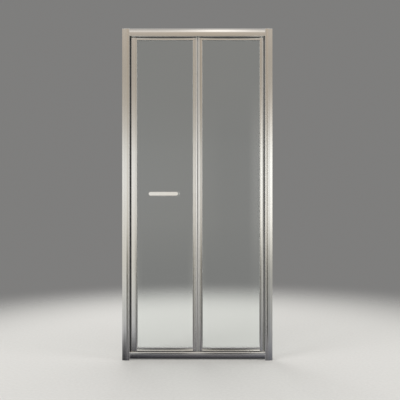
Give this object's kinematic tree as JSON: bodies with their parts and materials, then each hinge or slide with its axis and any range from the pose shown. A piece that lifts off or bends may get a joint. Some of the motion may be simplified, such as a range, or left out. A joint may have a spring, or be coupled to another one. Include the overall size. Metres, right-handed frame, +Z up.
{
  "type": "bifold shower door",
  "caption": "Framed bifold shower door for a recess, whose hinged glass leaves fold inwards on a jamb pivot and track rollers.",
  "frame": {"origin": "middle of the sill's underside, in the plane of the closed leaves", "axes": "+X to the right as seen from the room, +Y into the shower, +Z up"},
  "size_m": [0.86, 0.072, 1.9],
  "materials": {
    "aluminium": "bright polished anodised extrusion",
    "glass": "clear toughened glass",
    "chrome": "polished chrome plate",
    "gasket_rubber": "translucent pale grey glazing seal",
    "seal_rubber": "soft dark seal",
    "magnet_strip": "dark flexible magnetic strip",
    "hinge_strip": "grey extruded vinyl",
    "cap_plastic": "silver-grey moulded plastic",
    "clear_plastic": "clear soft plastic",
    "steel": "stainless steel",
    "nylon": "natural nylon"
  },
  "bodies": {
    "frame": {"wall_channel_left": "aluminium", "wall_channel_right": "aluminium", "strike_jamb": "aluminium", "pivot_jamb": "aluminium", "header_rail": "aluminium", "sill_rail": "aluminium", "jamb_top_caps": "cap_plastic", "frame_screws": "steel", "jamb_fixing_screws": "steel", "jamb_screw_caps": "cap_plastic", "strike_magnet": "magnet_strip", "pivot_jamb_seal": "seal_rubber", "top_pivot_block": "nylon", "bottom_pivot_block": "nylon", "pivot_block_screws": "steel", "top_track_stop": "nylon", "bottom_track_stop": "nylon"},
    "pivot_leaf": {"pivot_stile": "aluminium", "pivot_hinge_stile": "aluminium", "pivot_top_rail": "aluminium", "pivot_bottom_rail": "aluminium", "pivot_glass": "glass", "pivot_glazing_gasket": "gasket_rubber", "pivot_leaf_screws": "steel", "pivot_plugs": "nylon", "top_pivot_pin": "steel", "bottom_pivot_pin": "steel", "pivot_hinge_pins": "steel", "pivot_drip_seal": "seal_rubber"},
    "hinge_link": {"hinge_strip": "hinge_strip", "hinge_link_top": "steel", "hinge_link_bottom": "steel"},
    "lead_leaf": {"lead_stile": "aluminium", "lead_hinge_stile": "aluminium", "lead_top_rail": "aluminium", "lead_bottom_rail": "aluminium", "lead_glass": "glass", "lead_glazing_gasket": "gasket_rubber", "lead_leaf_screws": "steel", "guide_plugs": "nylon", "top_guide_pin": "steel", "bottom_guide_pin": "steel", "lead_hinge_pins": "steel", "lead_drip_seal": "seal_rubber", "lead_magnet": "magnet_strip", "handle_outer_bar": "chrome", "handle_outer_posts": "chrome", "handle_inner_bar": "chrome", "handle_inner_posts": "chrome", "handle_washers": "clear_plastic", "handle_bolts": "steel"},
    "top_roller": {"top_guide_roller": "nylon"},
    "bottom_roller": {"bottom_guide_roller": "nylon"}
  },
  "joints": [
    {"name": "leaf_pivot", "type": "hinge", "parent": "frame", "child": "pivot_leaf", "pos_m": [0.3705, 0, 0.95], "axis": [0, 0, -1], "range_deg": [0, 82]},
    {"name": "link_pivot", "type": "hinge", "parent": "pivot_leaf", "child": "hinge_link", "pos_m": [0.0075, -0.005, 0.95], "axis": [0, 0, 1], "range_deg": [0, 82]},
    {"name": "fold_pivot", "type": "hinge", "parent": "hinge_link", "child": "lead_leaf", "pos_m": [-0.0075, -0.005, 0.95], "axis": [0, 0, 1], "range_deg": [0, 82]},
    {"name": "top_roller_spin", "type": "hinge", "parent": "lead_leaf", "child": "top_roller", "pos_m": [-0.3705, 0, 1.864], "axis": [0, 0, 1], "continuous": true},
    {"name": "bottom_roller_spin", "type": "hinge", "parent": "lead_leaf", "child": "bottom_roller", "pos_m": [-0.3705, 0, 0.037], "axis": [0, 0, 1], "continuous": true}
  ],
  "couplings": [
    {"joint": "link_pivot", "follows": "leaf_pivot", "ratio": 1},
    {"joint": "fold_pivot", "follows": "leaf_pivot", "ratio": 1}
  ]
}
